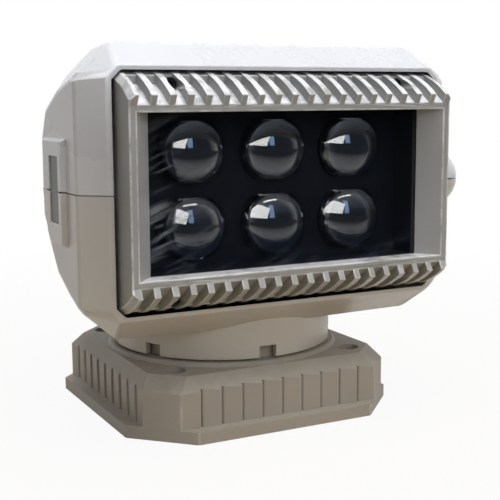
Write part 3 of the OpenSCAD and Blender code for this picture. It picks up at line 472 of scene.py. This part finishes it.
def edge_width(edge, rules):
    """Rounding of one edge in metres, from the first rule that takes it."""
    if len(edge.link_faces) == 2:
        for test, width in rules:
            if test(edge, middle_of(edge)):
                return width
    return 0.0


def on_skin(edge, walls, centre):
    """True where nothing of the same casting lies outside the edge, as seen from the centre."""
    middle = middle_of(edge)
    away = (middle - centre).normalized()
    return walls.ray_cast(middle + 0.2 * MM * away, away)[0] is None


def crease_edges(mesh, degrees):
    """Shades smooth over small bends, with a crease where a rounding meets a plain face."""
    shape = bmesh.new()
    shape.from_mesh(mesh)
    for face in shape.faces:
        face.smooth = True
    for edge in shape.edges:
        kinds = {face.material_index for face in edge.link_faces}
        edge.smooth = len(edge.link_faces) == 2 and len(kinds) == 1 and bend(edge) < degrees
    shape.to_mesh(mesh)
    shape.free()


def rounded_casting(node, name, rules, merge=0.06 * MM, flat=1.5, centre=None, crease=12.0):
    """A copy of a solid whose seen edges are rounded, with an edge attribute on the rounded faces.

    With a centre, only edges that nothing of the casting hides from outside are rounded.
    """
    shape = bmesh.new()
    shape.from_mesh(SOLIDS[node].data)
    bmesh.ops.remove_doubles(shape, verts=shape.verts, dist=merge)
    bmesh.ops.dissolve_limit(shape, angle_limit=math.radians(flat), verts=shape.verts, edges=shape.edges)
    framed = [f for f in shape.faces if not centre or abs(f.normal.y) > 0.99]
    bmesh.ops.connect_verts_concave(shape, faces=framed)
    widths = [edge_width(e, rules) for e in shape.edges]
    if centre:
        walls = BVHTree.FromBMesh(shape)
        widths = [w if w and on_skin(e, walls, centre) else 0.0 for e, w in zip(shape.edges, widths)]
    widest = max(widths) or 1.0
    mesh = bpy.data.meshes.new(name)
    shape.to_mesh(mesh)
    shape.free()
    weight = mesh.attributes.new("bevel_weight_edge", "FLOAT", "EDGE")
    weight.data.foreach_set("value", [w / widest for w in widths])

    # The second material slot marks the rounded faces until their edge attribute is written
    mesh.materials.append(None)
    mesh.materials.append(None)
    blank = place_object(name, mesh)
    rounding = blank.modifiers.new("rounding", "BEVEL")
    rounding.limit_method = "WEIGHT"
    rounding.width = widest
    rounding.segments = 4
    rounding.use_clamp_overlap = False
    rounding.material = 1
    done = applied_mesh(blank)
    crease_edges(done, crease)
    low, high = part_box(node)
    for corner in done.vertices:
        corner.co = [min(max(c, a), b) for c, a, b in zip(corner.co, low, high)]
    edge = done.attributes.new("edge", "FLOAT", "FACE")
    edge.data.foreach_set("value", [float(f.material_index) for f in done.polygons])
    done.polygons.foreach_set("material_index", [0] * len(done.polygons))
    return place_object(name, done)


# Shells of the head

TILT_AXIS_Z = 0.1383
HEAD_MIDDLE = Vector((0.0, -0.02, TILT_AXIS_Z))
HEAD_LOW_Z = 0.058
FRONT_LIP_Y = -0.0835
OPENING_X = 0.1009
OPENING_LOW_Z, OPENING_HIGH_Z = 0.0741, 0.2031
PAD_X = -0.1165
PAD_BACK_Y, PAD_FRONT_Y = -0.017, -0.056
PAD_LOW_Z, PAD_HIGH_Z = 0.107, 0.169
POCKET_MIDDLES = ((0.075, 0.012), (0.038, 0.0625))
POCKET_REACH, POCKET_HIGH_Z = 10 * MM, 0.08
NECK_HIGH_Z, NECK_RADIUS = 0.05, 0.0672


def faces_out(edge, middle, centre):
    away = middle - centre
    return all(f.normal.dot(away) > -1e-5 for f in edge.link_faces)


def in_screw_pocket(middle):
    near = min(math.hypot(abs(middle.x) - x, middle.y - y) for x, y in POCKET_MIDDLES)
    return near < POCKET_REACH and middle.z < POCKET_HIGH_Z


def outer_shell_edge(edge, middle):
    seen = middle.z > HEAD_LOW_Z and edge.is_convex and not in_screw_pocket(middle)
    long_enough = edge.calc_length() > 2.5 * MM
    return seen and bend(edge) > 7 and long_enough and faces_out(edge, middle, HEAD_MIDDLE)


def front_lip(edge, middle):
    return outer_shell_edge(edge, middle) and middle.y < FRONT_LIP_Y


def upright_front_lip(edge, middle):
    return front_lip(edge, middle) and upright(edge, 0.7)


def opening_lip(edge, middle):
    inside = abs(middle.x) < OPENING_X and OPENING_LOW_Z < middle.z < OPENING_HIGH_Z
    return middle.y < FRONT_LIP_Y and bend(edge) > 60 and inside


def on_side_pad(edge, middle):
    near = middle.x < PAD_X and PAD_FRONT_Y < middle.y < PAD_BACK_Y and PAD_LOW_Z < middle.z < PAD_HIGH_Z
    return near and edge.is_convex and bend(edge) > 7


def neck_lip(edge, middle):
    return middle.z < NECK_HIGH_Z and bend(edge) > 40 and middle.xy.length > NECK_RADIUS


SHELL_ROUNDING = [(on_side_pad, 0.3 * MM), (opening_lip, 0.4 * MM), (upright_front_lip, 1.6 * MM),
                  (front_lip, 0.6 * MM), (outer_shell_edge, 2.0 * MM), (neck_lip, 0.4 * MM)]
for node in ("upper_shell", "lower_shell"):
    show(rounded_casting(node, f"{node}_casting", SHELL_ROUNDING, centre=HEAD_MIDDLE), node)


# Bezel

BEZEL_SCREW_X, BEZEL_SCREW_Z = 0.07, 0.05639
SCREW_CLEARANCE = 9 * MM
FINS_FRONT_Y = -0.0825
CHEEK_X, CHEEK_FRONT_Y = 0.0975, -0.1
WINDOW_X, WINDOW_FRONT_Y = 0.094, -0.099
WINDOW_LOW_Z, WINDOW_HIGH_Z = 0.088, 0.188


def bezel_cheek_edge(edge, middle):
    return abs(middle.x) > CHEEK_X and middle.y < CHEEK_FRONT_Y and rise(edge) > 30 * MM


def bezel_front_edge(edge, middle):
    from_screw = math.hypot(abs(middle.x) - BEZEL_SCREW_X, abs(middle.z - TILT_AXIS_Z) - BEZEL_SCREW_Z)
    clear = from_screw > SCREW_CLEARANCE and middle.y < FINS_FRONT_Y
    return clear and edge.is_convex and bend(edge) > 25 and edge.calc_length() > 0.8 * MM


def bezel_window_edge(edge, middle):
    inside = abs(middle.x) < WINDOW_X and WINDOW_LOW_Z < middle.z < WINDOW_HIGH_Z
    return edge.calc_length() > 60 * MM and bend(edge) > 20 and middle.y < WINDOW_FRONT_Y and inside


BEZEL_ROUNDING = [(bezel_window_edge, 0.9 * MM), (bezel_cheek_edge, 2.4 * MM), (bezel_front_edge, 0.45 * MM)]
show(rounded_casting("bezel", "bezel_casting", BEZEL_ROUNDING, crease=20.0), "bezel")


# Base

FOOT_CORNER_RADIUS = 0.085
RIB_RADIUS, RIB_LENGTH = 0.07, 8 * MM


def along_rib(edge, middle):
    return upright(edge) and edge.calc_length() > RIB_LENGTH and middle.xy.length > RIB_RADIUS


def base_corner(edge, middle):
    return upright(edge) and bend(edge) > 15 and middle.xy.length > FOOT_CORNER_RADIUS and edge.is_convex


def base_rib(edge, middle):
    return along_rib(edge, middle) and bend(edge) > 8 and edge.is_convex


def mark_rib_roots(piece):
    """Writes 1 along the inner corner of each rib, where the finish paints shade, and 0 elsewhere."""
    shape = bmesh.new()
    shape.from_mesh(piece.data)
    inner = set()
    for edge in shape.edges:
        if along_rib(edge, middle_of(edge)) and not edge.is_convex and bend(edge) > 30:
            inner.update(edge.verts)
    roots = []
    for face in shape.faces:
        on_side = abs(face.normal.z) < 0.2
        roots += [float(on_side and loop.vert in inner) for loop in face.loops]
    shape.free()
    piece.data.attributes.new("root", "FLOAT", "CORNER").data.foreach_set("value", roots)


BASE_ROUNDING = [(base_corner, 0.8 * MM), (base_rib, 0.25 * MM)]
base_body = rounded_casting("base_casting", "base_body_casting", BASE_ROUNDING, crease=5.0)
mark_rib_roots(base_body)
show(base_body, "base_casting")


# Lenses

LENS_RIM_Y = -0.0725


def lens_rim(edge, middle):
    return bend(edge) > 22 and middle.y < LENS_RIM_Y


LENS_ROUNDING = [(lens_rim, 0.4 * MM)]
for number in range(1, 7):
    node = f"lens_{number}"
    lens = rounded_casting(node, f"{node}_polished", LENS_ROUNDING, merge=0.01 * MM, flat=0.01, crease=20.0)
    show(lens, node)


# Socket head screws

SCREW_SIZES = ("Head Radius", "Head Height", "Key Radius", "Key Depth", "Shank Radius", "Length")
HEAD_SIDES, SHANK_SIDES, KEY_SIDES = 40, 24, 6
KEY_TURN = 17.0


def socket_screw_tree():
    """Sets one socket head screw on each point of a mesh, with the outer face of the head on the point."""
    tree = bpy.data.node_groups.new("socket_screws", "GeometryNodeTree")
    tree.interface.new_socket("Places", in_out="INPUT", socket_type="NodeSocketGeometry")
    for label in SCREW_SIZES:
        tree.interface.new_socket(label, in_out="INPUT", socket_type="NodeSocketFloat")
    tree.interface.new_socket("Turn", in_out="INPUT", socket_type="NodeSocketVector")
    tree.interface.new_socket("Finish", in_out="INPUT", socket_type="NodeSocketMaterial")
    tree.interface.new_socket("Screws", in_out="OUTPUT", socket_type="NodeSocketGeometry")
    given = add(tree, "NodeGroupInput").outputs

    def rod(radius, length, sides):
        node = add(tree, "GeometryNodeMeshCylinder")
        put(node, Vertices=sides)
        wire(tree, radius, node.inputs["Radius"])
        wire(tree, length, node.inputs["Depth"])
        moved = add(tree, "GeometryNodeTransform")
        wire(tree, node.outputs["Mesh"], moved.inputs["Geometry"])
        return moved

    def rod_below(radius, length, sides):
        """A rod that hangs from the point."""
        moved = rod(radius, length, sides)
        place = add(tree, "ShaderNodeCombineXYZ")
        wire(tree, times(tree, length, -0.5), place.inputs["Z"])
        wire(tree, place.outputs[0], moved.inputs["Translation"])
        return moved.outputs["Geometry"]

    key = rod(given["Key Radius"], times(tree, given["Key Depth"], 2.0), KEY_SIDES)
    put(key, Rotation=(0.0, 0.0, math.radians(KEY_TURN)))
    whole = add(tree, "GeometryNodeMeshBoolean", operation="UNION", solver="EXACT")
    wire(tree, rod_below(given["Head Radius"], given["Head Height"], HEAD_SIDES), whole.inputs["Mesh 2"])
    wire(tree, rod_below(given["Shank Radius"], given["Length"], SHANK_SIDES), whole.inputs["Mesh 2"])
    cut = add(tree, "GeometryNodeMeshBoolean", operation="DIFFERENCE", solver="EXACT")
    wire(tree, whole.outputs["Mesh"], cut.inputs["Mesh 1"])
    wire(tree, key.outputs["Geometry"], cut.inputs["Mesh 2"])
    spots = add(tree, "GeometryNodeInstanceOnPoints")
    wire(tree, given["Places"], spots.inputs["Points"])
    wire(tree, cut.outputs["Mesh"], spots.inputs["Instance"])
    wire(tree, given["Turn"], spots.inputs["Rotation"])
    real = add(tree, "GeometryNodeRealizeInstances")
    wire(tree, spots.outputs["Instances"], real.inputs["Geometry"])
    coated = add(tree, "GeometryNodeSetMaterial")
    wire(tree, real.outputs["Geometry"], coated.inputs["Geometry"])
    wire(tree, given["Finish"], coated.inputs["Material"])
    wire(tree, coated.outputs["Geometry"], add(tree, "NodeGroupOutput").inputs["Screws"])
    return tree


SOCKET_SCREWS = socket_screw_tree()


def set_screws(node, name, turn, sizes, places):
    """Shows a node's screws. The turn is in degrees, sizes (as in SCREW_SIZES) and places are in millimetres."""
    points = bpy.data.meshes.new(name)
    points.from_pydata([[c * MM for c in place] for place in places], [], [])
    holder = place_object(name, points)
    maker = holder.modifiers.new("screws", "NODES")
    maker.node_group = SOCKET_SCREWS
    socket = {s.name: s.identifier for s in SOCKET_SCREWS.interface.items_tree if s.in_out == "INPUT"}
    for label, size in zip(SCREW_SIZES, sizes):
        maker[socket[label]] = size * MM
    maker[socket["Turn"]] = [math.radians(a) for a in turn]
    maker[socket["Finish"]] = finish_of(node)
    rounding = holder.modifiers.new("rounding", "BEVEL")
    rounding.limit_method = "ANGLE"
    rounding.angle_limit = math.radians(70.0)
    rounding.width = 0.25 * MM
    rounding.segments = 2
    mesh = applied_mesh(holder)
    mesh.polygons.foreach_set("use_smooth", [True] * len(mesh.polygons))
    mesh.set_sharp_from_angle(angle=math.radians(35.0))
    show(place_object(name, mesh), node)


HEAD_TO_FRONT, HEAD_DOWN = (90, 0, 0), (180, 0, 0)
SIDES = (-1, 1)
set_screws("bezel_screws", "bezel_socket_screws", HEAD_TO_FRONT, (3.5, 4.0, 2.0, 2.2, 2.0, 15.6),
           [(70.0 * x, -87.4, 138.3 + 56.39 * z) for x in SIDES for z in SIDES])
set_screws("bottom_plate_screws", "plate_socket_screws", HEAD_DOWN, (2.8, 1.3, 1.2, 0.8, 1.5, 15.7),
           [(a * x, b * y, 0.3) for a, b in ((28.0, 71.69), (71.69, 28.0)) for x in SIDES for y in SIDES])
set_screws("shell_screws", "shell_socket_screws", HEAD_DOWN, (3.8, 3.0, 2.0, 1.6, 2.0, 78.5),
           [(a * x, y, 70.8) for a, y in ((75.0, 12.01), (38.0, 62.49)) for x in SIDES])

# The solids get their finishes too, for those that stay in view
for node, solid in SOLIDS.items():
    coat(solid, node)


# Studio

PART_MIDDLE, PART_FRONT, WINDOW_MIDDLE = (0.0, -0.03, 0.1), (0.0, -0.05, 0.12), (0.0, -0.08, 0.14)


def light_area(name, place, aim, size, power, colour=WHITE):
    data = bpy.data.lights.new(name, "AREA")
    data.shape = "RECTANGLE"
    data.size, data.size_y = size
    data.energy = power
    data.color = colour
    lamp = place_object(name, data)
    lamp.location = place
    lamp.rotation_euler = (Vector(aim) - Vector(place)).to_track_quat("-Z", "Y").to_euler()
    return lamp


light_area("overhead_softbox", (0.0, -0.3, 1.35), PART_MIDDLE, (0.8, 0.9), 18.5)
front_fill = light_area("front_softbox", (0.35, -1.5, 0.8), PART_FRONT, (1.0, 0.6), 6.0)
front_fill.visible_glossy = False
front_fill.visible_transmission = False
shine_card = light_area("lens_shine_card", (-1.2, -0.85, 0.95), WINDOW_MIDDLE, (2.5, 1.1), 60.0)
cool_card = light_area("lens_cool_card", (-0.16, -1.55, 0.95), WINDOW_MIDDLE, (0.4, 1.1), 4.5, (0.4, 0.62, 1.0))
for card in (shine_card, cool_card):
    card.visible_diffuse = False
    card.visible_transmission = False
    card.visible_camera = False


def seen_rays(tree):
    """Camera rays, and rays that come by way of polished faces and glass."""
    path = add(tree, "ShaderNodeLightPath").outputs
    return path["Is Camera Ray"], larger(tree, path["Is Glossy Ray"], path["Is Transmission Ray"])


def light_world():
    """White for camera rays, dim in front for gloss and glass, and a soft dome for light."""
    world = bpy.data.worlds.new("studio")
    bpy.context.scene.world = world
    world.use_nodes = True
    tree = world.node_tree
    direction = axes_of(tree, add(tree, "ShaderNodeTexCoord").outputs["Generated"])
    dome = blend(tree, spread(tree, direction["Z"], -0.1, 0.9), (0.2, 0.2, 0.205), (0.36, 0.37, 0.385))
    dome = blend(tree, spread(tree, direction["X"], -0.15, -0.85), dome, (0.06, 0.06, 0.06))
    behind = spread(tree, direction["Y"], -0.6, -0.15)
    straight, bent = seen_rays(tree)
    backdrop = blend(tree, larger(tree, straight, behind), (0.05, 0.065, 0.1), WHITE)
    light = blend(tree, larger(tree, straight, bent), dome, backdrop)
    wire(tree, light, tree.nodes["Background"].inputs["Color"])


def lay_floor():
    """A floor that looks white, takes a faint shade near the part and throws warm light up at it."""
    bpy.ops.mesh.primitive_plane_add(size=12.0)
    floor = bpy.context.object
    floor.name = "studio_floor"
    material = bpy.data.materials.new("pale_floor")
    material.use_nodes = True
    tree = material.node_tree
    tree.nodes.remove(tree.nodes["Principled BSDF"])
    matt = add(tree, "ShaderNodeBsdfDiffuse")
    put(matt, Color=(0.44, 0.37, 0.28, 1.0))
    glow = add(tree, "ShaderNodeEmission")
    mix = add(tree, "ShaderNodeMixShader")
    place = object_place(tree)
    reach = add(tree, "ShaderNodeVectorMath", operation="LENGTH")
    wire(tree, place, reach.inputs[0])
    white = spread(tree, reach.outputs["Value"], 0.16, 0.7, 0.94, 1.0)
    behind = spread(tree, axes_of(tree, place)["Y"], -0.5, -0.1, 0.08, 1.0)
    straight, bent = seen_rays(tree)
    wire(tree, larger(tree, straight, behind), glow.inputs["Strength"])
    wire(tree, times(tree, larger(tree, straight, bent), white), mix.inputs["Fac"])
    wire(tree, matt.outputs[0], mix.inputs[1])
    wire(tree, glow.outputs[0], mix.inputs[2])
    wire(tree, mix.outputs[0], tree.nodes["Material Output"].inputs["Surface"])
    floor.data.materials.append(material)


CAMERA_PLACE = (-0.2747, -0.5711, 0.1877)
CAMERA_TURN, CAMERA_RISE, CAMERA_ROLL = (math.radians(a) for a in (-27.35, 8.57, -0.28))
CAMERA_LENS = 72.93


def set_camera():
    """The camera that was fitted to the photo."""
    turn, lift, roll = CAMERA_TURN, CAMERA_RISE, CAMERA_ROLL
    back = Vector((math.sin(turn) * math.cos(lift), -math.cos(turn) * math.cos(lift), math.sin(lift)))
    right = Vector((math.cos(turn), math.sin(turn), 0.0))
    up = right.cross(-back)
    across = math.cos(roll) * right + math.sin(roll) * up
    upward = math.cos(roll) * up - math.sin(roll) * right
    data = bpy.data.cameras.new("photo_camera")
    data.sensor_width = 36.0
    data.lens = CAMERA_LENS
    data.clip_start = 0.01
    camera = place_object("photo_camera", data)
    turned = Matrix((across, upward, back)).transposed().to_4x4()
    camera.matrix_world = Matrix.Translation(CAMERA_PLACE) @ turned
    bpy.context.scene.camera = camera


light_world()
lay_floor()
set_camera()
bpy.context.scene.view_settings.view_transform = "Standard"
